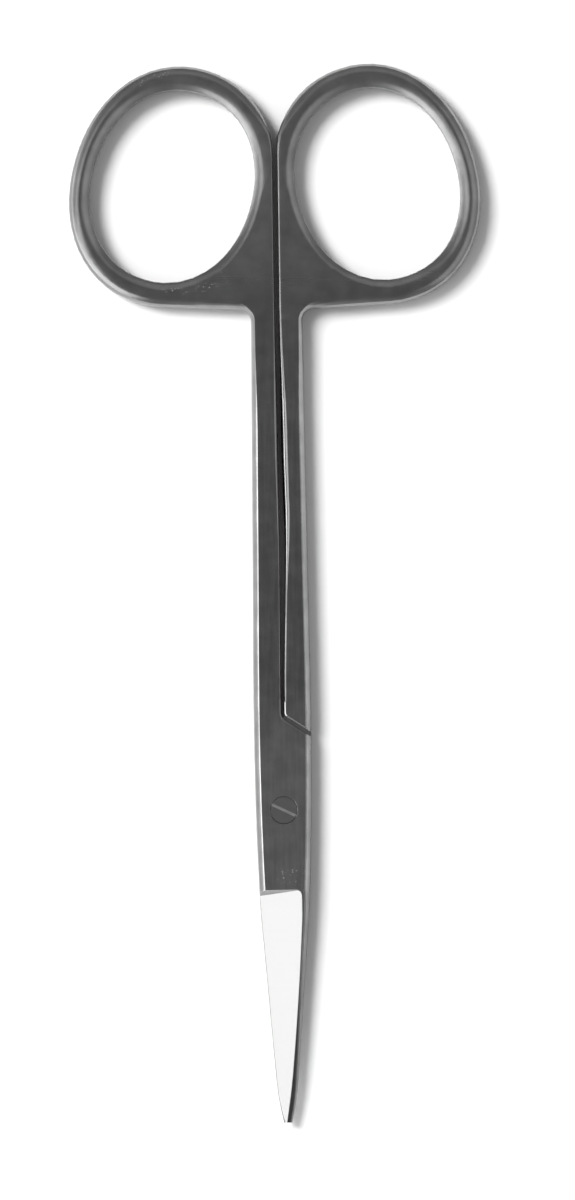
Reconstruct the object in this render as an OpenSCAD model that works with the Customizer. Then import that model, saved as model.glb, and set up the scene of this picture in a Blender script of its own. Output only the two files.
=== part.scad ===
// Iris scissors: two forged halves that cross in a lap joint and turn on a slotted screw.
// Y runs along the scissors, with the bows at +Y and the tips at -Y, and X runs across them.
// Z is up through the joint. The scissors lie closed, with their back on Z = 0.

/* [Length and stock] */
// Length from the top of the bows to the tips
overall_len = 115; // [100:1:130]
// Length from the pivot to the tips
blade_len = 34; // [30:0.5:40]
// Thickness of the shanks, the bows and the closed joint
stock_t = 3.2; // [2.8:0.1:3.8]
// Height of the full edge curve over the flat that cuts it, which leaves a crease
edge_crown = 1.05; // [1.04:0.01:1.3]
// Width of the rounding along the outer edges of the shanks, the joint and the blades
edge_w = 0.64; // [0.4:0.02:1]
// Width of the rounding along the outer edges where the shanks leave the webs
neck_edge_w = 0.42; // [0.3:0.02:0.8]
// Share of the rounding's width that a blade would keep if it thinned to nothing
edge_share = 0.15; // [0:0.05:0.5]
// Largest share of a narrow section's width that one edge's rounding may take
edge_limit = 0.42; // [0.3:0.01:0.48]

/* [Bows] */
// Width of the oval finger hole
hole_w = 17.5; // [15:0.1:20]
// Length of the oval finger hole
hole_len = 21; // [18:0.1:23]
// Squareness of the ovals, where 2 is a plain ellipse
bow_square = 2.1; // [2:0.05:2.5]
// Lean of the ovals towards each other at the top, in degrees
bow_lean = 17; // [5:1:25]
// Width of the band at the sides of the oval
band_side = 2.2; // [2:0.05:3]
// Width of the band at the ends of the oval
band_end = 2.7; // [2.2:0.05:3.5]
// Width of the slope along the finger hole
hole_edge_w = 0.95; // [0.5:0.05:1.1]
// Bulge of the wall of the finger hole
hole_side = 0.08; // [0.02:0.01:0.2]
// Width of the slope along the rim of the bow and the underside of its web
bow_edge_w = 0.75; // [0.5:0.05:1]
// Bulge of the side of the rim
bow_side = 0.3; // [0.1:0.01:0.5]
// Steepest tilt of those slopes, in degrees
bow_tilt = 42; // [30:1:50]
// Depth ground off the bows where they meet
bow_flat = 0.12; // [0.05:0.01:0.4]
// Length from the top of a bow to the underside of its web
bow_len = 26.6; // [26:0.1:28]
// Radius between the web and the shank
web_r = 1.25; // [0.8:0.05:2]

/* [Shanks] */
// Distance from the long axis to the outer edge, where a shank leaves its bow
neck_w = 2.8; // [2.4:0.05:3.4]
// Distance from the long axis to the outer edge, halfway along a shank
shank_w = 3; // [2.6:0.05:3.6]
// Distance from the long axis to the inner edge of the front shank
front_inset = 0.1; // [0.05:0.01:0.3]
// Distance from the long axis to the inner edge of the front bow
front_bow_inset = 0.26; // [0.05:0.01:0.4]
// Distance from the long axis to the inner edge of the front shank at its step
front_step_inset = 0.17; // [0.05:0.01:0.3]
// Distance from the long axis to the inner edge of the rear shank and bow
rear_inset = 0.3; // [0.05:0.01:0.4]
// Distance from the long axis to the inner edge of the rear shank at its step
rear_step_inset = 0.25; // [0.05:0.01:0.4]
// Depth of the long hollow in the rear shank's inner edge
rear_hollow = 0.25; // [0:0.01:0.4]
// Distance from the step to the middle of that hollow
hollow_rise = 16.5; // [12:0.5:20]
// Rounding of the front shank's inner edge
front_edge_r = 0.36; // [0.1:0.01:0.6]
// Rounding of that edge at the bow and at the step
front_end_r = 0.1; // [0.05:0.01:0.3]
// Rounding of the rear shank's inner edge
rear_edge_r = 0.75; // [0.3:0.01:0.9]
// Rounding of that edge at the bow and at the step
rear_end_r = 0.22; // [0.05:0.01:0.5]

/* [Joint] */
// Width of the joint where it is widest
joint_w = 6.26; // [5.6:0.02:7]
// Distance from the pivot to the corner of the step
step_len = 10.6; // [9:0.1:13]
// Slope of the step across the joint, in degrees
step_slope = 33; // [20:1:45]
// Radius at the corner of the step
step_r = 0.6; // [0.3:0.05:1]
// Width of the bevel along the edges of the step
bevel_w = 0.12; // [0.05:0.01:0.14]
// Height of that bevel
bevel_h = 0.09; // [0.04:0.01:0.14]
// Gap between the two flat faces of the lap
lap_gap = 0.05; // [0.02:0.01:0.1]

/* [Screw] */
// Diameter of the screw's head
head_d = 2.9; // [2.4:0.1:3.4]
// Height of the screw's head
head_h = 0.75; // [0.5:0.05:0.95]
// Diameter of the screw's shank
screw_d = 1.9; // [1.4:0.1:2.1]
// Width of the slot
slot_w = 0.28; // [0.2:0.01:0.5]
// Depth of the slot
slot_h = 0.35; // [0.2:0.05:0.45]
// Turn of the slot below the line across the scissors, in degrees
slot_turn = 26; // [0:1:90]
// Gap round the head and the shank in the front half
run_gap = 0.07; // [0.03:0.01:0.1]
// Gap round the screw in the rear half, which stands for its thread
thread_gap = 0.01; // [0.01:0.01:0.03]
// Depth of the screw's ends below the faces
screw_sink = 0.09; // [0.02:0.01:0.15]

/* [Blades] */
// Distance from the pivot to the heel, where the ground face starts
heel_len = 8.65; // [7:0.05:11]
// Width of the closed blades at the heel
heel_w = 5.56; // [5:0.02:6.2]
// Width of the closed blades halfway from the heel to the point
belly_w = 4.04; // [3.4:0.02:4.8]
// Height of one blade's back there
belly_t = 1.18; // [0.9:0.02:1.3]
// Length of the point
point_len = 4.7; // [3.5:0.1:6]
// Width of the closed blades where the point starts
point_w = 2.4; // [1.8:0.05:3]
// Height of one blade's back there
point_t = 0.68; // [0.5:0.02:0.85]
// Length of the nose, where the point turns in
nose_len = 2.5; // [1.5:0.1:3]
// Width of the closed blades where the nose starts
nose_w = 1.9; // [1.3:0.05:2.2]
// Width of the closed tips
tip_w = 0.9; // [0.5:0.05:1.2]
// Height of one blade at its tip
tip_t = 0.38; // [0.3:0.02:0.48]
// Tilt of the ground face, in degrees
grind_tilt = 16.7; // [14:0.1:20]
// Height of the cutting edge over the lap
edge_t = 0.18; // [0.1:0.01:0.25]
// Step back of each cutting edge from the other blade's back
edge_back = 0.05; // [0.02:0.01:0.3]
// Radius at the outer corner of the ground face
grind_r = 0.6; // [0.3:0.05:1]
// Width of the back that is left beside the ground face at the heel
back_w = 0.95; // [0.8:0.05:1.3]
// Lean of the wall that the wheel leaves at the heel, in degrees
heel_lean = 25; // [10:1:40]

/* [Hidden] */
$fn = 64;
steel = [0.60, 0.61, 0.62];
screw_steel = [0.52, 0.53, 0.54];

// Lengths along the axis, measured from the pivot.
handle_len = overall_len - blade_len;
pivot_y = blade_len - overall_len / 2;
half_t = stock_t / 2;
step_gap = front_step_inset + rear_step_inset;
point_y = -(blade_len - point_len);
belly_y = (point_y - heel_len) / 2;
// The plate spreads from the shank to its full width in this stretch, which the step then trims.
spread_top = step_len + 1.2;
spread_low = step_len + 0.1;
trim_top = spread_top + 0.2;
reach = overall_len;

// Counts of segments: over half an edge, round a bow, and along each stretch of a half.
edge_n = 5;
slope_n = 2;
bow_n = 56;
fillet_n = 4;
web_n = 4;
shank_n = 14;
spread_n = 3;
joint_n = 6;
blade_n = 18;
step_n = 8;

function mix(a, b, t) = a + (b - a) * t;
function ease(t) = let(u = min(max(t, 0), 1)) u * u * (3 - 2 * u);

// Two ways through knots [y, value], which are listed from +Y to -Y: a flowing curve, and one
// that levels out at each knot and stays level past the ends.
function knot_slope(k, i) =
    let(a = k[max(i - 1, 0)], b = k[min(i + 1, len(k) - 1)]) (b[1] - a[1]) / (b[0] - a[0]);
function knot_at(k, y, i = 0) = (i >= len(k) - 2 || y > k[i + 1][0]) ? i : knot_at(k, y, i + 1);
function curve(k, y) =
    let(i = knot_at(k, y), p = k[i], q = k[i + 1], h = q[0] - p[0], t = (y - p[0]) / h)
    p[1] * (2 * t ^ 3 - 3 * t ^ 2 + 1) + knot_slope(k, i) * h * (t ^ 3 - 2 * t ^ 2 + t)
    + q[1] * (3 * t ^ 2 - 2 * t ^ 3) + knot_slope(k, i + 1) * h * (t ^ 3 - t ^ 2);
function levelled(k, y) =
    let(i = knot_at(k, y), p = k[i], q = k[i + 1]) mix(p[1], q[1], ease((p[0] - y) / (p[0] - q[0])));

// Outer edge of the closed pair, as a distance from the long axis.
width_knots = [
    [handle_len - bow_len, neck_w],
    [(handle_len - bow_len) / 2, shank_w],
    [step_len - 3, joint_w / 2],
    [-heel_len, heel_w / 2],
    [belly_y, belly_w / 2],
    [point_y, point_w / 2],
    [-blade_len + nose_len, nose_w / 2],
    [-blade_len, tip_w / 2]
];
function half_w(y) = curve(width_knots, y);

// Height of a half over its middle plane: level down to the heel, then falling to the tip.
back_knots = [[-heel_len, half_t], [belly_y, belly_t], [point_y, point_t], [-blade_len, tip_t]];
function half_h(y) = y >= -heel_len ? half_t : curve(back_knots, y);

// One side of a section, from the front crease (i = 0) over the middle to the back crease.
// Each point is [distance in from the side, height]. A full round is blended by flat_share
// into a straight wall with corners of radius corner_r.
crease = asin(1 / edge_crown);
function side_pt(i, h, w, corner_r, flat_share) =
    let(u = 1 - i / edge_n, a = crease * u, g = min(90 * (1 - abs(u)) * edge_n / (edge_n - 1), 90),
        round_pt = [w * (1 - cos(a)) / (1 - cos(crease)), h * sin(a) / sin(crease)],
        wall_pt = [corner_r * (1 - sin(g)), sign(u) * (h - corner_r * (1 - cos(g)))])
    mix(round_pt, wall_pt, flat_share);

// One side of a bow's section: a slope of width w that steepens from the flat, down to a side
// that bulges by side.
side_turn = 60;
function bow_pt(i, w, side) =
    let(n = edge_n - slope_n, j = min(i, 2 * edge_n - i), v = min(j / slope_n, 1),
        drop = w * tan(bow_tilt) / 2, a = side_turn * min((edge_n - j) / n, 1),
        x = side * (1 - cos(a)) / (1 - cos(side_turn)) + w * (1 - v),
        z = (half_t - drop) * sin(a) / sin(side_turn) + drop * (1 - v ^ 2))
    [x, i > edge_n ? -z : z];

// The ovals of a bow, as a distance from its centre at an angle.
function oval(a, rx, ry) =
    let(b = a + bow_lean) (abs(cos(b) / rx) ^ bow_square + abs(sin(b) / ry) ^ bow_square)
    ^ (-1 / bow_square);
function hole_r(a) = oval(a, hole_w / 2, hole_len / 2);
function rim_r(a) = oval(a, hole_w / 2 + band_side, hole_len / 2 + band_end);
function at_angle(a, r) = [r * cos(a), r * sin(a)];
rim_side = max([for (a = [-45:0.5:45]) rim_r(a) * cos(a)]);
rim_top = max([for (a = [45:0.5:135]) rim_r(a) * sin(a)]);
bow_c = [-(rim_side - bow_flat), handle_len - rim_top];

// Fillet between the web and the shank: its centre, and the level where the bow's skin ends.
fillet_y = handle_len - bow_len - web_r;
fillet_c = [-half_w(fillet_y) - web_r, fillet_y];
stub_y = fillet_y + web_r * sin(45);
web_end = [fillet_c.x, fillet_y + web_r];

// The web's underside leaves the rim where the line from the fillet is tangent to it.
function web_rise(a) =
    let(p = bow_c + at_angle(a, rim_r(a))) (p.y - web_end.y) / (web_end.x - p.x);
touch_angles = [for (a = [225:1.5:280]) a];
touch_rise = min([for (a = touch_angles) web_rise(a)]);
touch_a = [for (a = touch_angles) if (web_rise(a) == touch_rise) a][0];

// Width of the outer rounding at a level, and of the slope along the rim, which leaves a flat.
edge_knots = [[fillet_y, neck_edge_w], [fillet_y - 12, edge_w]];
function edge_at(y) = levelled(edge_knots, y) * mix(edge_share, 1, half_h(y) / half_t);
rim_edge_w = min(bow_edge_w, 0.95 * (band_side - hole_edge_w - hole_side) - bow_side);

// Side of the bow at step k along its outline: from the neck's rounding to the rim's slope, and
// to a straight wall with corners of radius corner_r by flat_share.
function rim_side_pt(i, k, corner_r, flat_share) =
    mix(mix(side_pt(i, half_t, neck_edge_w, 0, 0), bow_pt(i, rim_edge_w, bow_side), ease(k / (fillet_n + web_n))),
        side_pt(i, half_t, 1, corner_r, 1), flat_share);

// Inner edges of the shanks, as distances from the long axis, and their roundings.
hollow_y = step_len + hollow_rise;
upper_y = (hollow_y + stub_y) / 2;
front_inner = [[stub_y, front_bow_inset], [upper_y, front_inset], [hollow_y, front_inset],
    [spread_top, front_step_inset]];
rear_inner = [[stub_y, rear_inset], [upper_y, rear_inset], [hollow_y, rear_inset + rear_hollow],
    [spread_top, rear_step_inset]];
front_round = [[stub_y, front_end_r], [upper_y, front_edge_r], [hollow_y, front_end_r]];
rear_round = [[stub_y, rear_end_r], [upper_y, rear_edge_r], [(upper_y + hollow_y) / 2, rear_edge_r],
    [mix(hollow_y, spread_top, 0.3), rear_end_r]];

// Rim of a bow, clipped where the two bows meet: above the centre the oval or the flat,
// whichever is nearer, and below it the inner edge of the shank.
function rim_pt(a, inset) =
    let(wall = cos(a) > 0.1 ? (-inset - bow_c.x) / cos(a) : reach, far = a > 0 ? min(rim_r(a), wall) : wall)
    bow_c + at_angle(a, far);

// Outline of the bow from the fillet, round the rim clockwise, to the shank's inner edge.
// Each entry is [point, direction into the metal, share of straight wall].
function outline(inset) =
    let(end_a = atan2(stub_y - bow_c.y, -inset - bow_c.x),
        rim_a = [for (i = [0:bow_n]) mix(touch_a, end_a, i / bow_n)],
        rim = [for (a = rim_a) rim_pt(a, inset)])
    concat(
        [for (i = [0:fillet_n]) let(a = mix(45, 90, i / fillet_n))
            [fillet_c + at_angle(a, web_r), at_angle(a, 1), 0]],
        [for (i = [1:web_n - 1]) [mix(web_end, rim[0], i / web_n), [0, 1], 0]],
        [for (i = [0:bow_n])
            let(d = rim[min(i + 1, bow_n)] - rim[max(i - 1, 0)], n = [d.y, -d.x] / norm(d))
            [rim[i], n, ease((50 - rim_a[i]) / 35)]]
    );

// Outer edge of a section with an offset d into the metal, round the fillet where there is one.
function outer_x(y, d) =
    y > fillet_y ? fillet_c.x + sqrt((web_r + d) ^ 2 - (y - fillet_y) ^ 2)
    : -half_w(y) + edge_back * ease((-heel_len - y + 0.4) / 1.4) + d;

// Section of the half at a level: down the outer side, across the back, up the inner side.
function section(y, inner, round) =
    let(h = half_h(y), open = ease((spread_top - y) / (spread_top - spread_low)),
        inner_x = mix(-levelled(inner, y), half_w(y), open), r = levelled(round, y),
        w = min(edge_at(y), edge_limit * (inner_x - outer_x(y, 0))),
        outer = [for (i = [0:2 * edge_n]) let(p = side_pt(i, h, w, r, 0)) [outer_x(y, p[0]), y, p[1]]],
        far = [for (i = [2 * edge_n:-1:0])
            let(p = side_pt(i, h, w, r, 1 - open)) [inner_x - p[0], y, p[1]]],
        mid_x = (outer[0].x + far[2 * edge_n].x) / 2)
    concat(outer, [[mid_x, y, -h]], far, [[mid_x, y, h]]);

// Levels of the sections, from the fillet to the tip.
levels = concat(
    [for (i = [0:fillet_n]) fillet_y + web_r * sin(45 * (1 - i / fillet_n))],
    [for (i = [1:shank_n]) mix(fillet_y, spread_top, i / shank_n)],
    [for (i = [1:spread_n]) mix(spread_top, spread_low, i / spread_n)],
    [for (i = [1:joint_n]) mix(spread_low, -heel_len, i / joint_n)],
    [for (i = [1:blade_n]) mix(-blade_len, -heel_len, (1 - i / blade_n) ^ 1.3)]
);

// The whole skin of one half as a single surface: the wall round the rim, the wall of the
// finger hole, the two flats between them, and the sections from the bow to the tip.
module half_skin(inner, round) {
    rim = outline(inner[0][1]);
    rim_n = len(rim);
    row = 2 * edge_n + 1;
    sections = [for (y = levels) section(y, inner, round)];
    loop = len(sections[0]);
    first = sections[0];

    rim_pts = [for (k = [0:rim_n - 1]) for (i = [0:row - 1])
        let(s = rim[k], p = rim_side_pt(i, k, round[0][1], s[2]), q = s[0] + s[1] * p[0])
        k == 0 ? first[i] : k == rim_n - 1 ? first[loop - 2 - i] : [q.x, q.y, p[1]]];
    stub_mid = [first[loop - 1].x, stub_y];
    hole_dirs = concat([for (s = rim) s[0] - bow_c], [stub_mid - bow_c]);
    hole_pts = [for (v = hole_dirs) for (i = [0:row - 1])
        let(a = atan2(v.y, v.x), p = bow_pt(i, hole_edge_w, hole_side), q = bow_c + at_angle(a, hole_r(a) + p[0]))
        [q.x, q.y, p[1]]];
    mid_pts = [first[loop - 1], first[row]];
    more_pts = [for (s = [1:len(sections) - 1]) each sections[s]];

    hole_0 = rim_n * row;
    mid_0 = hole_0 + (rim_n + 1) * row;
    more_0 = mid_0 + 2;
    function rim_i(k, i) = k * row + i;
    function hole_i(k, i) = hole_0 + (k % (rim_n + 1)) * row + i;
    function flat_i(k, i) = k == rim_n ? mid_0 + (i == 0 ? 0 : 1) : rim_i(k % (rim_n + 1), i);
    function loop_i(s, j) =
        let(c = j % loop)
        s > 0 ? more_0 + (s - 1) * loop + c
        : c < row ? rim_i(0, c)
        : c == row ? mid_0 + 1
        : c == loop - 1 ? mid_0
        : rim_i(rim_n - 1, loop - 2 - c);

    faces = concat(
        [for (k = [0:rim_n - 2]) for (i = [0:row - 2])
            [rim_i(k, i), rim_i(k + 1, i), rim_i(k + 1, i + 1), rim_i(k, i + 1)]],
        [for (k = [0:rim_n]) for (i = [0:row - 2])
            [hole_i(k, i), hole_i(k, i + 1), hole_i(k + 1, i + 1), hole_i(k + 1, i)]],
        [for (k = [0:rim_n])
            [flat_i(k, 0), hole_i(k, 0), hole_i(k + 1, 0), flat_i((k + 1) % (rim_n + 1), 0)]],
        [for (k = [0:rim_n])
            [flat_i(k, row - 1), flat_i((k + 1) % (rim_n + 1), row - 1), hole_i(k + 1, row - 1), hole_i(k, row - 1)]],
        [for (s = [0:len(sections) - 2]) for (j = [0:loop - 1])
            [loop_i(s, j), loop_i(s, j + 1), loop_i(s + 1, j + 1), loop_i(s + 1, j)]],
        [[for (j = [-1:loop - 2]) loop_i(len(sections) - 1, (j + loop) % loop)]]
    );
    polyhedron(points = concat(rim_pts, hole_pts, mid_pts, more_pts), faces = faces, convexity = 6);
}

// Path of the step for a shank whose inner edge lies at wall_x, moved out by d: down the
// inner edge, round the corner, and down the slope to beyond the outer edge.
function step_path(wall_x, d, top) =
    let(c = [wall_x + step_r, step_len], r = step_r + d, last = 270 - step_slope, foot = c + at_angle(last, r))
    concat(
        [[wall_x - d, top]],
        [for (i = [0:step_n]) c + at_angle(mix(180, last, i / step_n), r)],
        [foot + at_angle(-step_slope, joint_w)]
    );

// Solid through outlines that run counterclockwise, each at its own level.
module loft(outlines, heights) {
    n = len(outlines[0]);
    top = len(outlines) - 1;
    polyhedron(
        points = [for (s = [0:top]) for (p = outlines[s]) [p.x, p.y, heights[s]]],
        faces = concat(
            [[for (i = [0:n - 1]) i]],
            [for (s = [0:top - 1]) for (i = [0:n - 1]) let(j = (i + 1) % n)
                [s * n + i, (s + 1) * n + i, (s + 1) * n + j, s * n + j]],
            [[for (i = [n - 1:-1:0]) top * n + i]]
        ),
        convexity = 4
    );
}

// What the step of the mating half takes out of this half's plate, through its thickness and
// with a bevel along both faces.
module step_cut(mate_inset) {
    function cut(d) =
        concat(step_path(mate_inset, step_gap + d, trim_top), [[joint_w, trim_top]]);
    loft(
        [cut(2 * bevel_w), cut(0), cut(0), cut(2 * bevel_w)],
        [-half_t - bevel_h, -half_t + bevel_h, half_t - bevel_h, half_t + bevel_h]
    );
}

// What the lap takes out behind the plate and the blade, below this half's own step, with a
// bevel along the face of the step.
module lap_cut(inset) {
    side = joint_w * 2;
    function cut(d) =
        concat([for (p = step_path(inset, -d, spread_low)) [-p.x, p.y]],
            [[-side, -reach], [side, -reach], [side, spread_low]]);
    loft([cut(2 * bevel_w), cut(0), cut(0)], [-half_t - bevel_h, -half_t + bevel_h, lap_gap / 2]);
}

// What the wheel takes off the front of the blade: all above the ground face, from the heel
// on, with a leaning wall at the heel and a round outer corner.
module grind_cut() {
    a = [-half_w(-heel_len) + edge_back, -heel_len];
    b = [-half_w(point_y) + edge_back, point_y];
    turn = atan2(b.x - a.x, a.y - b.y);
    corner = [half_w(-heel_len) - back_w - grind_r, -grind_r];
    intersection() {
        translate([a.x, a.y, edge_t]) rotate([0, 0, turn]) rotate([0, -grind_tilt, 0])
            translate([-joint_w, -reach, 0]) cube([3 * joint_w, 2 * reach, stock_t]);
        translate([0, -heel_len, half_t]) rotate([-heel_lean, 0, 0]) translate([0, 0, -reach])
            linear_extrude(2 * reach) polygon(concat(
                [[-joint_w, -reach], [-joint_w, 0]],
                [for (i = [0:step_n]) corner + at_angle(90 - 90 * i / step_n, grind_r)],
                [[corner.x + grind_r, -reach]]
            ));
    }
}

// One half in its own place, with the pivot on the Z axis and its middle plane on Z = 0.
module half(inner, round, step_inset, mate_inset) {
    difference() {
        half_skin(inner, round);
        step_cut(mate_inset);
        lap_cut(step_inset);
        grind_cut();
    }
}

module front_half() {
    color(steel) translate([0, pivot_y, half_t]) difference() {
        half(front_inner, front_round, front_step_inset, rear_step_inset);
        translate([0, 0, -stock_t]) cylinder(h = 2 * stock_t, d = screw_d + 2 * run_gap);
        translate([0, 0, half_t - screw_sink - head_h - run_gap])
            cylinder(h = stock_t, d = head_d + 2 * run_gap);
    }
}

module rear_half() {
    color(steel) translate([0, pivot_y, half_t]) rotate([0, 180, 0]) difference() {
        half(rear_inner, rear_round, rear_step_inset, front_step_inset);
        translate([0, 0, -stock_t]) cylinder(h = 2 * stock_t, d = screw_d + 2 * thread_gap);
    }
}

module pivot_screw() {
    color(screw_steel) translate([0, pivot_y, screw_sink]) difference() {
        union() {
            cylinder(h = stock_t - 2 * screw_sink - head_h, d = screw_d);
            translate([0, 0, stock_t - 2 * screw_sink - head_h]) cylinder(h = head_h, d = head_d);
        }
        translate([0, 0, stock_t - 2 * screw_sink - slot_h]) rotate([0, 0, -slot_turn])
            translate([-head_d, -slot_w / 2, 0]) cube([2 * head_d, slot_w, stock_t]);
    }
}

front_half();
rear_half();
pivot_screw();
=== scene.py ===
import math

import bmesh
import bpy
from mathutils import Matrix, Vector

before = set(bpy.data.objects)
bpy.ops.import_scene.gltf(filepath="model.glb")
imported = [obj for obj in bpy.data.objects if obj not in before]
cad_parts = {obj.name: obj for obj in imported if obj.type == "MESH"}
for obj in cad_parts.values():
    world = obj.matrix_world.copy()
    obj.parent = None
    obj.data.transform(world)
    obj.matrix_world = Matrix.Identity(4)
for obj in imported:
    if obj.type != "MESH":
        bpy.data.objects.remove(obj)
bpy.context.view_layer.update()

scene = bpy.context.scene
scene.view_settings.view_transform = "Standard"


# Rear half. One drop forging of martensitic stainless steel, with the right ring, the lower
# plate of the lap joint and the lower blade. Its faces are belt ground and its rounds are
# satin finished by hand. It lies face down, so its ground blade face looks at the floor.
MM = 0.001
PIVOT_Y = -23.5 * MM
MID_Z = 1.6 * MM
LAP_GAP = 0.05 * MM
HEEL_Y = PIVOT_Y - 8.65 * MM
HEEL_LEAN = math.radians(25)
GRIND_TILT = math.radians(16.7)
GRIND_TURN = math.atan2(1.58, 20.65)
GRIND_EDGE = Vector((-2.73 * MM, HEEL_Y, 0.18 * MM))


def linear(code):
    """A hex sRGB colour as linear red, green, blue and alpha."""
    parts = [int(code[i:i + 2], 16) / 255 for i in (1, 3, 5)]
    return [c / 12.92 if c <= 0.04045 else ((c + 0.055) / 1.055) ** 2.4 for c in parts] + [1]


def add(tree, kind, inputs=(), **settings):
    """Adds a node. Each input takes a value, a socket, or a node for its first output."""
    made = tree.nodes.new(kind)
    for key, value in settings.items():
        setattr(made, key, value)
    for name, value in inputs:
        if isinstance(value, bpy.types.Node):
            value = value.outputs[0]
        if isinstance(value, bpy.types.NodeSocket):
            tree.links.new(value, made.inputs[name])
        else:
            made.inputs[name].default_value = value
    return made


# Forged 420 stainless, belt ground with fine grit and then satin finished. It gives a dark
# even mirror of the room, with faint lines along it, softer on the buffed rings, and a white
# sheen where the wheel ground the blade.
SATIN_DARK, SATIN_LIGHT = "#898989", "#9D9D9D"
BOW_DARK, BOW_LIGHT = "#838383", "#959595"
TIP_FLAT_DARK, TIP_FLAT_LIGHT = "#A3A3A3", "#B5B5B5"
# The next two colours are painted shade for the steep sides, which mirror the shadowed floor beside
# them.
SIDE_SHADE_DARK, SIDE_SHADE_LIGHT = "#6A6A6A", "#777777"
GROUND_DARK, GROUND_LIGHT = "#CBCBCB", "#D1D1D1"
# The next colour is a painted glint on the nicks.
NICK_GLINT = "#CECECE"

# The places along the length where a finish, the brighter flats and the painted shade of the sides
# start, or end, and where each is full.
BUFFED_START, BUFFED_FULL = 28 * MM, 37 * MM
BRUSHED_FULL, BRUSHED_END = 24 * MM, 32 * MM
TIP_FLAT_START, TIP_FLAT_FULL = -9.5 * MM, -17 * MM
SIDE_SHADE_START, SIDE_SHADE_FULL = 15 * MM, -35 * MM

# The heights off the lap between which the painted shade of the sides comes in, and its share.
SIDE_SHADE_TOP, SIDE_SHADE_DEEP = 1.35 * MM, 1.0 * MM
SIDE_SHADE_LEAST, SIDE_SHADE_MOST = 0.3, 0.85

# The steps and runs of the patterns, and what a noise mostly lies between.
GRIT_STEP, GRIT_RUN = 0.303 * MM, 6.667 * MM
BRUSH_STEP, BRUSH_RUN = 0.3333 * MM, 5.556 * MM
CLOUD = 2.222 * MM
NICK_STEP, NICK_RIM, NICK_FLOOR = 0.2941 * MM, 0.32, 0.1
NOISE_LOW, NOISE_HIGH = 0.3, 0.7

# How near to its plane a point still belongs to a ground face, a plate's outside or the lap.
GROUND_FIT, OUTER_FIT, LAP_FIT = 0.012 * MM, 0.01 * MM, 0.03 * MM
# The heel wall's share of the ground face's colour, partly a painted highlight, and the brushing's
# share.
WALL_HIGHLIGHT_SHARE, BRUSHED_SHARE = 0.35, 0.7
FINE_ROUGH, COARSE_ROUGH, BUFFED_EXTRA = 0.165, 0.185, 0.145
EDGE_ROUND, GRIT_DEPTH, NICK_DEPTH = 0.05 * MM, 0.01 * MM, 0.03 * MM


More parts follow.
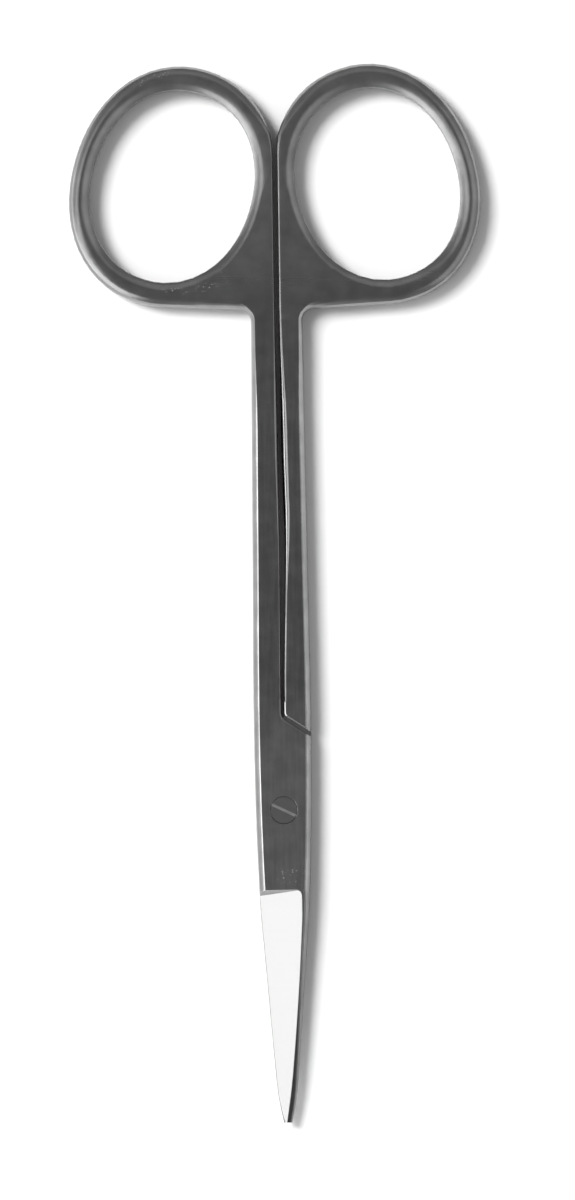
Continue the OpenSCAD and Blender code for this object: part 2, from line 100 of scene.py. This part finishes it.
def forged_stainless(name, side, nicks):
    """side is 1 for the half that lies face up and -1 for the other. nicks are ovals in mm."""
    material = bpy.data.materials.new(name)
    material.use_nodes = True
    tree = material.node_tree
    tree.nodes.clear()
    where = add(tree, "ShaderNodeTexCoord").outputs["Object"]
    place = add(tree, "ShaderNodeSeparateXYZ", [(0, where)])
    along = place.outputs["Y"]

    # The wheel's plane runs through the cutting edge and starts at the heel.
    tilt = Vector((-math.sin(GRIND_TILT), 0, math.cos(GRIND_TILT)))
    tilt = Matrix.Rotation(GRIND_TURN, 3, "Z") @ tilt
    normal = Vector((side * tilt.x, tilt.y, side * tilt.z))
    edge = Vector((side * GRIND_EDGE.x, GRIND_EDGE.y, MID_Z + side * GRIND_EDGE.z))
    reach = add(tree, "ShaderNodeVectorMath", [(0, where), (1, normal)], operation="DOT_PRODUCT")
    off = add(tree, "ShaderNodeMath", [
        (0, reach.outputs["Value"]), (1, normal.dot(edge)), (2, GROUND_FIT)], operation="COMPARE")
    past_heel = add(tree, "ShaderNodeMath", [(0, along), (1, HEEL_Y)], operation="LESS_THAN")
    face = add(tree, "ShaderNodeMath", [(0, off), (1, past_heel)], operation="MULTIPLY")

    # The wheel's side leaves a low leaning wall at the heel. It takes a share of the ground face's
    # brighter colour: partly the wheel's finish, partly a painted highlight.
    lean = Vector((0, -math.cos(HEEL_LEAN), side * math.sin(HEEL_LEAN)))
    heel = Vector((0, HEEL_Y, MID_Z + side * MID_Z))
    reach = add(tree, "ShaderNodeVectorMath", [(0, where), (1, lean)], operation="DOT_PRODUCT")
    wall = add(tree, "ShaderNodeMath", [
        (0, reach.outputs["Value"]), (1, lean.dot(heel)), (2, GROUND_FIT)], operation="COMPARE")
    ground_and_wall_highlight = add(tree, "ShaderNodeMath", [
        (0, wall), (1, WALL_HIGHLIGHT_SHARE), (2, face)], operation="MULTIPLY_ADD")

    # Grit lines across the length: 0.05 mm apart on the real one, drawn 0.3 mm apart to show.
    stretched = add(tree, "ShaderNodeMapping", [
        ("Vector", where), ("Scale", (1 / GRIT_RUN, 1 / GRIT_STEP, 1 / GRIT_RUN))])
    lines = add(tree, "ShaderNodeTexNoise", [
        ("Vector", stretched), ("Scale", 1.0), ("Detail", 1.0)])

    # Brushed lines along the shanks and plates: 0.05 mm apart on the real one, drawn 0.33 mm
    # apart to show, over faint clouds 2 mm wide. The buffed rings have the clouds alone.
    cloud = add(tree, "ShaderNodeTexNoise", [
        ("Vector", where), ("Scale", 1 / CLOUD), ("Detail", 6.0)])
    drawn = add(tree, "ShaderNodeMapping", [
        ("Vector", where), ("Scale", (1 / BRUSH_STEP, 1 / BRUSH_RUN, 1 / BRUSH_STEP))])
    brushed = add(tree, "ShaderNodeTexNoise", [("Vector", drawn), ("Scale", 1.0), ("Detail", 2.0)])
    streak = add(tree, "ShaderNodeMath", [(0, brushed), (1, 0.5)], operation="SUBTRACT")
    shaft = add(tree, "ShaderNodeMapRange", [
        ("Value", along), ("From Min", BRUSHED_FULL), ("From Max", BRUSHED_END),
        ("To Min", BRUSHED_SHARE), ("To Max", 0)])
    mottle = add(tree, "ShaderNodeMath", [
        (0, streak), (1, shaft), (2, cloud)], operation="MULTIPLY_ADD")
    tone = add(tree, "ShaderNodeMapRange", [
        ("Value", mottle), ("From Min", NOISE_LOW), ("From Max", NOISE_HIGH)])
    shank = add(tree, "ShaderNodeMixRGB", [
        (0, tone), (1, linear(SATIN_DARK)), (2, linear(SATIN_LIGHT))])
    ring = add(tree, "ShaderNodeMixRGB", [(0, tone), (1, linear(BOW_DARK)), (2, linear(BOW_LIGHT))])
    buffed = add(tree, "ShaderNodeMapRange", [
        ("Value", along), ("From Min", BUFFED_START), ("From Max", BUFFED_FULL)])
    satin = add(tree, "ShaderNodeMixRGB", [(0, buffed), (1, shank), (2, ring)])

    # Painted shade: the sides, well below the flat faces, are darkened, more and more toward the
    # tips, as they mirror the shadowed floor beside them.
    surface = add(tree, "ShaderNodeMixRGB", [
        (0, tone), (1, linear(SIDE_SHADE_DARK)), (2, linear(SIDE_SHADE_LIGHT))])
    height = add(tree, "ShaderNodeMath", [
        (0, place.outputs["Z"]), (1, MID_Z)], operation="SUBTRACT")
    height = add(tree, "ShaderNodeMath", [(0, height)], operation="ABSOLUTE")
    low = add(tree, "ShaderNodeMapRange", [
        ("Value", height), ("From Min", SIDE_SHADE_TOP), ("From Max", SIDE_SHADE_DEEP)])
    side_shade_share = add(tree, "ShaderNodeMapRange", [
        ("Value", along), ("From Min", SIDE_SHADE_START), ("From Max", SIDE_SHADE_FULL),
        ("To Min", SIDE_SHADE_LEAST), ("To Max", SIDE_SHADE_MOST)])
    side_shade_share = add(tree, "ShaderNodeMath", [(0, low), (1, side_shade_share)], operation="MULTIPLY")
    satin = add(tree, "ShaderNodeMixRGB", [(0, side_shade_share), (1, satin), (2, surface)])

    # The outer and inner flats are a little brighter toward the tips, fully so from a little above
    # the joint.
    tip_flat_tone = add(tree, "ShaderNodeMixRGB", [
        (0, tone), (1, linear(TIP_FLAT_DARK)), (2, linear(TIP_FLAT_LIGHT))])
    toward_tips = add(tree, "ShaderNodeMapRange", [
        ("Value", along), ("From Min", TIP_FLAT_START), ("From Max", TIP_FLAT_FULL)])
    outer = add(tree, "ShaderNodeMath", [
        (0, height), (1, MID_Z), (2, OUTER_FIT)], operation="COMPARE")
    inner = add(tree, "ShaderNodeMath", [
        (0, height), (1, LAP_GAP / 2), (2, LAP_FIT)], operation="COMPARE")
    flat = add(tree, "ShaderNodeMath", [(0, outer), (1, inner)], operation="MAXIMUM")
    brighter_flats = add(tree, "ShaderNodeMath", [(0, toward_tips), (1, flat)], operation="MULTIPLY")
    satin = add(tree, "ShaderNodeMixRGB", [(0, brighter_flats), (1, satin), (2, tip_flat_tone)])
    wheel = add(tree, "ShaderNodeMixRGB", [
        (0, lines), (1, linear(GROUND_DARK)), (2, linear(GROUND_LIGHT))])
    steel = add(tree, "ShaderNodeMixRGB", [(0, ground_and_wall_highlight), (1, satin), (2, wheel)])

    # Round nicks from use, about 0.1 mm wide, thinning out toward the rims of their ovals. The bump
    # below dents them, and their bright colour is a painted glint.
    specks = add(tree, "ShaderNodeTexVoronoi", [("Vector", where), ("Scale", 1 / NICK_STEP)])
    deep = add(tree, "ShaderNodeMapRange", [
        ("Value", specks), ("From Min", NICK_RIM), ("From Max", NICK_FLOOR)])
    worn = 0.0
    for x, y, half_x, half_y, turn in nicks:
        oval = add(tree, "ShaderNodeMapping", [
            ("Vector", where), ("Location", (x * MM, y * MM, 0)),
            ("Rotation", (0, 0, math.radians(turn))),
            ("Scale", (half_x * MM, half_y * MM, 1))], vector_type="TEXTURE")
        far = add(tree, "ShaderNodeVectorMath", [(0, oval)], operation="LENGTH").outputs["Value"]
        near = add(tree, "ShaderNodeMapRange", [
            ("Value", far), ("From Min", 1.0), ("From Max", 0.4)])
        worn = add(tree, "ShaderNodeMath", [(0, worn), (1, near)], operation="MAXIMUM")
    nicked = add(tree, "ShaderNodeMath", [(0, deep), (1, worn)], operation="MULTIPLY")
    colour = add(tree, "ShaderNodeMixRGB", [(0, nicked), (1, steel), (2, linear(NICK_GLINT))])

    rough = add(tree, "ShaderNodeMapRange", [
        ("Value", lines), ("From Min", NOISE_LOW), ("From Max", NOISE_HIGH),
        ("To Min", FINE_ROUGH), ("To Max", COARSE_ROUGH)])
    rough = add(tree, "ShaderNodeMath", [
        (0, buffed), (1, BUFFED_EXTRA), (2, rough)], operation="MULTIPLY_ADD")
    worn_edge = add(tree, "ShaderNodeBevel", [("Radius", EDGE_ROUND)], samples=4)
    scored = add(tree, "ShaderNodeBump", [
        ("Strength", 0.02), ("Distance", GRIT_DEPTH), ("Height", lines), ("Normal", worn_edge)])
    dented = add(tree, "ShaderNodeBump", [
        ("Strength", 0.45), ("Distance", NICK_DEPTH), ("Height", nicked), ("Normal", scored)],
        invert=True)
    shader = add(tree, "ShaderNodeBsdfPrincipled", [
        ("Base Color", colour), ("Metallic", 1.0), ("Roughness", rough), ("Normal", dented)])
    add(tree, "ShaderNodeOutputMaterial", [("Surface", shader)])
    return material


# An edge that turns by less than this is part of a round. The blade's rounds are finer.
SHANK_CREASE, BLADE_CREASE = math.radians(26), math.radians(14)
BLADE_START = HEEL_Y + 0.5 * MM


def smooth_rounds(piece):
    """Joins the loose triangles and shades the rounds smooth, with the creases kept sharp."""
    group = bpy.data.node_groups.new("smooth_rounds", "GeometryNodeTree")
    group.interface.new_socket("Geometry", in_out="INPUT", socket_type="NodeSocketGeometry")
    group.interface.new_socket("Geometry", in_out="OUTPUT", socket_type="NodeSocketGeometry")
    surface = add(group, "GeometryNodeMergeByDistance", [
        ("Geometry", add(group, "NodeGroupInput")), ("Distance", 0.0005 * MM)])
    angle = add(group, "GeometryNodeInputMeshEdgeAngle")
    place = add(group, "ShaderNodeSeparateXYZ", [(0, add(group, "GeometryNodeInputPosition"))])
    blade = add(group, "ShaderNodeMath", [
        (0, place.outputs["Y"]), (1, BLADE_START)], operation="LESS_THAN")
    limit = add(group, "ShaderNodeMapRange", [
        ("Value", blade), ("To Min", SHANK_CREASE), ("To Max", BLADE_CREASE)])
    gentle = add(group, "ShaderNodeMath", [(0, angle), (1, limit)], operation="LESS_THAN")
    faces = add(group, "GeometryNodeSetShadeSmooth", [("Geometry", surface)])
    edges = add(group, "GeometryNodeSetShadeSmooth", [
        ("Geometry", faces), ("Shade Smooth", gentle)], domain="EDGE")
    add(group, "NodeGroupOutput", [("Geometry", edges)])
    rounds = piece.modifiers.new("smooth_rounds", "NODES")
    rounds.node_group = group
    flats = piece.modifiers.new("true_flats", "WEIGHTED_NORMAL")
    flats.mode, flats.weight, flats.keep_sharp = "FACE_AREA", 90, True


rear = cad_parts["rear_half"]
rear.data.materials.clear()
rear.data.materials.append(forged_stainless("forged_stainless_rear", -1, [
    (5.6, 32.7, 0.5, 0.4, 0)]))
smooth_rounds(rear)


# Front half. The same forging turned face up, with the left ring, the upper plate and the
# upper blade. Its ring carries a few nicks on top and under its hole, and its plate a few
# near the heel. Each oval is its middle, its half width and height, and its turn in degrees.
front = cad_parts["front_half"]
front.data.materials.clear()
front.data.materials.append(forged_stainless("forged_stainless_front", 1, [
    (-14.7, 55.7, 1.5, 0.7, 25), (-12.2, 56.6, 1.4, 0.6, 10), (-10.8, 33.1, 2.4, 0.6, 0),
    (-7.6, 33.4, 2.0, 0.6, 12), (0.6, -30.6, 2.2, 1.3, 0)]))
smooth_rounds(front)


# Pivot screw. Turned from stainless bar, with a slot sawn across its flat head. It holds the
# two plates together, with its head sunk in the front one and its end just inside the back.
HEAD_TOP = 3.11 * MM
SLOT_TOP = HEAD_TOP - 0.03 * MM

# Turned 303 stainless, faced in the lathe: a fine round grain that catches light in a ring.
# Its tool marks are 0.03 mm apart on the real one, and drawn 0.15 mm apart to show.
TURNED_DARK, TURNED_LIGHT = "#959595", "#9D9D9D"
# The next colour is a painted highlight for the slot.
SLOT_HIGHLIGHT = "#E3E3E3"
MARK_STEP, STAIN = 0.15 * MM, 0.6667 * MM


def turned_stainless(name):
    material = bpy.data.materials.new(name)
    material.use_nodes = True
    tree = material.node_tree
    tree.nodes.clear()
    where = add(tree, "ShaderNodeTexCoord").outputs["Object"]
    centred = add(tree, "ShaderNodeMapping", [
        ("Vector", where), ("Location", (0, -PIVOT_Y, 0))])
    place = add(tree, "ShaderNodeSeparateXYZ", [(0, centred)])
    flat = add(tree, "ShaderNodeCombineXYZ", [
        ("X", place.outputs["X"]), ("Y", place.outputs["Y"])])
    radius = add(tree, "ShaderNodeVectorMath", [(0, flat)], operation="LENGTH").outputs["Value"]
    marks = add(tree, "ShaderNodeMath", [
        (0, radius), (1, 2 * math.pi / MARK_STEP)], operation="MULTIPLY")
    groove = add(tree, "ShaderNodeMath", [(0, marks)], operation="SINE")
    tone = add(tree, "ShaderNodeTexNoise", [
        ("Vector", where), ("Scale", 1 / STAIN), ("Detail", 4.0)])
    faced = add(tree, "ShaderNodeMixRGB", [
        (0, tone), (1, linear(TURNED_DARK)), (2, linear(TURNED_LIGHT))])

    # Painted highlight: all below the head's face, the slot with the hidden head sides and shank,
    # is coloured bright, so the slot shows as a lit line.
    below = add(tree, "ShaderNodeMath", [
        (0, place.outputs["Z"]), (1, SLOT_TOP)], operation="LESS_THAN")
    colour = add(tree, "ShaderNodeMixRGB", [(0, below), (1, faced), (2, linear(SLOT_HIGHLIGHT))])
    worn_edge = add(tree, "ShaderNodeBevel", [("Radius", EDGE_ROUND)], samples=4)
    grain = add(tree, "ShaderNodeBump", [
        ("Strength", 0.05), ("Distance", 0.01 * MM), ("Height", groove), ("Normal", worn_edge)])
    shader = add(tree, "ShaderNodeBsdfPrincipled", [
        ("Base Color", colour), ("Metallic", 1.0), ("Roughness", 0.28), ("Normal", grain)])
    add(tree, "ShaderNodeOutputMaterial", [("Surface", shader)])
    return material


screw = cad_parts["pivot_screw"]
screw.data.materials.clear()
screw.data.materials.append(turned_stainless("turned_stainless_screw"))
smooth_rounds(screw)


# Floor. A matt white sheet of paper that the scissors lie on. The camera and the metal see it
# a little brighter than its light makes it, apart from close by, where their shadow stays.
FLOOR_HALF = 4
FLOOR_WHITE = "#F5F5F5"
FLOOR_LIFT, LIFT_FADE = 0.16, 6 * MM
bm = bmesh.new()
bmesh.ops.create_grid(bm, x_segments=1, y_segments=1, size=FLOOR_HALF)
sheet = bpy.data.meshes.new("floor")
bm.to_mesh(sheet)
bm.free()
floor = bpy.data.objects.new("floor", sheet)
scene.collection.objects.link(floor)
paper = bpy.data.materials.new("white_paper")
paper.use_nodes = True
tree = paper.node_tree
tree.nodes.clear()
ray = add(tree, "ShaderNodeLightPath")
mirrored = add(tree, "ShaderNodeMath", [
    (0, ray.outputs["Is Glossy Ray"]), (1, ray.outputs["Is Transmission Ray"])],
    operation="MAXIMUM")
seen = add(tree, "ShaderNodeMath", [
    (0, ray.outputs["Is Camera Ray"]), (1, mirrored)], operation="MAXIMUM")
opened = add(tree, "ShaderNodeAmbientOcclusion", [("Distance", LIFT_FADE)], samples=8)
opened = add(tree, "ShaderNodeMath", [(0, opened.outputs["AO"]), (1, 2.0)], operation="POWER")
lift = add(tree, "ShaderNodeMath", [(0, seen), (1, opened)], operation="MULTIPLY")
lift = add(tree, "ShaderNodeMath", [(0, lift), (1, FLOOR_LIFT)], operation="MULTIPLY")
matt = add(tree, "ShaderNodeBsdfDiffuse", [("Color", linear(FLOOR_WHITE))])
glow = add(tree, "ShaderNodeEmission", [("Strength", lift)])
both = add(tree, "ShaderNodeAddShader", [(0, matt), (1, glow)])
add(tree, "ShaderNodeOutputMaterial", [("Surface", both)])
sheet.materials.append(paper)


# Studio. A dim ceiling over pale walls, with the wall beyond the rings flagged down. A large
# softbox at the upper left gives the shadow, two tall panels at the left draw the bright
# edges, and three dim cards, which only the metal sees, fill the slopes that face elsewhere.
WALL_LIGHT, CEILING_LIGHT, CEILING_START = 0.7, 0.205, 0.8
FLAG_LIGHT, FLAG_START, FLAG_FULL = 0.55, 0.1, 0.8
world = bpy.data.worlds.new("studio")
world.use_nodes = True
scene.world = world
tree = world.node_tree
tree.nodes.clear()
aim = add(tree, "ShaderNodeTexCoord").outputs["Generated"]
aim = add(tree, "ShaderNodeSeparateXYZ", [(0, aim)])
wall = add(tree, "ShaderNodeMapRange", [
    ("Value", aim.outputs["Z"]), ("From Min", 0.0), ("From Max", CEILING_START),
    ("To Min", WALL_LIGHT), ("To Max", CEILING_LIGHT)], interpolation_type="SMOOTHSTEP")
flag = add(tree, "ShaderNodeMapRange", [
    ("Value", aim.outputs["Y"]), ("From Min", FLAG_START), ("From Max", FLAG_FULL),
    ("To Min", 1.0), ("To Max", FLAG_LIGHT)])
back = add(tree, "ShaderNodeBackground", [("Color", wall), ("Strength", flag)])
add(tree, "ShaderNodeOutputWorld", [("Surface", back)])

# Each lamp hangs 3 m away at its azimuth and fills the heights from low to high and a spread
# across, all in degrees. The last two values say whether it lights the metal and the paper.
LAMP_AWAY = 3
for name, azimuth, low, high, spread, radiance, on_metal, on_paper in (
        ("key_softbox", 147, 42, 65, 32, 22.4, False, True),
        ("left_panel_low", 186, 1, 24, 70, 3.6, True, True),
        ("left_panel_high", 175, 44, 72, 50, 1.36, True, True),
        ("near_left_card", 220, 22, 50, 52, 2.4, True, False),
        ("right_card", 350, 34, 66, 90, 0.65, True, False),
        ("far_card", 90, 30, 62, 70, 0.35, True, False)):
    turn, middle = math.radians(azimuth), math.radians((low + high) / 2)
    tall = 2 * LAMP_AWAY * math.tan(math.radians(high - low) / 2)
    wide = 2 * LAMP_AWAY * math.cos(middle) * math.tan(math.radians(spread) / 2)
    lamp = bpy.data.lights.new(name, "AREA")
    lamp.shape = "RECTANGLE"
    lamp.size, lamp.size_y = wide, tall
    lamp.energy = radiance * math.pi * wide * tall
    holder = bpy.data.objects.new(name, lamp)
    holder.location = LAMP_AWAY * Vector(
        (math.cos(middle) * math.cos(turn), math.cos(middle) * math.sin(turn), math.sin(middle)))
    holder.rotation_euler = (-holder.location).to_track_quat("-Z", "Y").to_euler()
    holder.visible_camera = False
    holder.visible_glossy, holder.visible_diffuse = on_metal, on_paper
    scene.collection.objects.link(holder)


# Camera. Straight above the scissors, 1 m from the lap, with the small turn and offset of the
# photograph. The frame's height fills the sensor.
PIXEL, FRAME_HEIGHT, CAMERA_AWAY = 0.10874 * MM, 1200, 1.0
eye = bpy.data.cameras.new("camera")
eye.sensor_width = 36
eye.lens = eye.sensor_width * CAMERA_AWAY / (FRAME_HEIGHT * PIXEL)
camera = bpy.data.objects.new("camera", eye)
camera.location = (0.74 * MM, -0.69 * MM, CAMERA_AWAY + MID_Z)
camera.rotation_euler = (0, 0, math.radians(-0.83))
scene.collection.objects.link(camera)
scene.camera = camera
